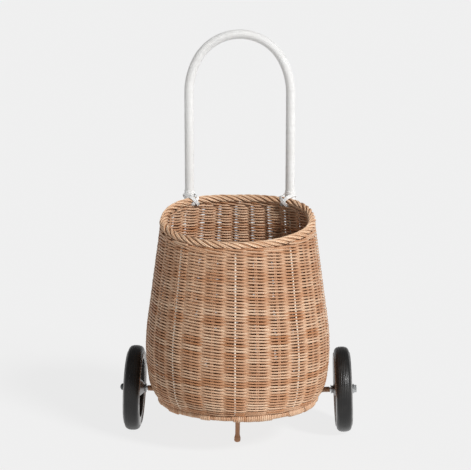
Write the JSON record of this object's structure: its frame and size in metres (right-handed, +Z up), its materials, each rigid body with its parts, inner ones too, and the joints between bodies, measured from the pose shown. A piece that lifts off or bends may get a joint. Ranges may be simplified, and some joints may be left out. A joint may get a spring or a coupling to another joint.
{
  "type": "wheeled pull-along basket",
  "caption": "Round woven cane basket on two rubber-tyred wheels and a front peg, with a tall cane-wrapped arch handle at the back for pulling it along.",
  "frame": {"origin": "on the ground, under the centre of the basket", "axes": "+Z up, +X to the basket's right as seen from the front, -Y towards the front where the peg is, +Y towards the handle"},
  "size_m": [0.3545, 0.2692, 0.5948],
  "materials": {
    "cane_natural": "natural split cane, satin",
    "cane_brown": "brown cane, satin",
    "cane_pale": "peeled pale cane, matt",
    "cane_white": "whitened cane, matt",
    "tyre_rubber": "black rubber, half matt",
    "dish_black": "black paint, satin",
    "zinc_steel": "zinc-plated, satin",
    "axle_steel": "bright zinc-plated",
    "cap_steel": "dark grey, satin"
  },
  "bodies": {
    "basket": {"side_weave": "cane_natural", "lower_waling": "cane_natural", "upper_waling": "cane_natural", "rim_border": "cane_natural", "base_weave": "cane_natural", "foot_binding_front": "cane_natural", "foot_binding_rear": "cane_natural", "axle_ties": "cane_natural", "leg_ties": "cane_natural", "side_stakes": "cane_brown", "foot_hoop_front": "cane_brown", "foot_hoop_rear": "cane_brown", "peg_cross_pole": "cane_brown", "front_peg": "cane_brown", "axle_pole": "cane_brown", "handle_pole": "cane_brown", "base_sticks_lengthwise": "cane_pale", "base_sticks_crosswise": "cane_pale", "handle_wrap": "cane_white", "rim_lashing_left": "cane_white", "rim_lashing_right": "cane_white", "axle_rod": "axle_steel", "axle_washers": "axle_steel", "right_flange_nut": "axle_steel", "left_dome_cap": "cap_steel"},
    "left_wheel": {"left_tyre": "tyre_rubber", "left_wheel_disc": "dish_black", "left_inner_flange": "zinc_steel", "left_outer_flange": "zinc_steel", "left_hub": "zinc_steel"},
    "right_wheel": {"right_tyre": "tyre_rubber", "right_wheel_disc": "dish_black", "right_inner_flange": "zinc_steel", "right_outer_flange": "zinc_steel", "right_hub": "zinc_steel"}
  },
  "joints": [
    {"name": "left_wheel_turn", "type": "hinge", "parent": "basket", "child": "left_wheel", "pos_m": [-0.1559, 0.036, 0.06347], "axis": [0.9992, 0, -0.0401], "continuous": true},
    {"name": "right_wheel_turn", "type": "hinge", "parent": "basket", "child": "right_wheel", "pos_m": [0.1559, 0.036, 0.06347], "axis": [0.9992, 0, 0.0401], "continuous": true}
  ]
}
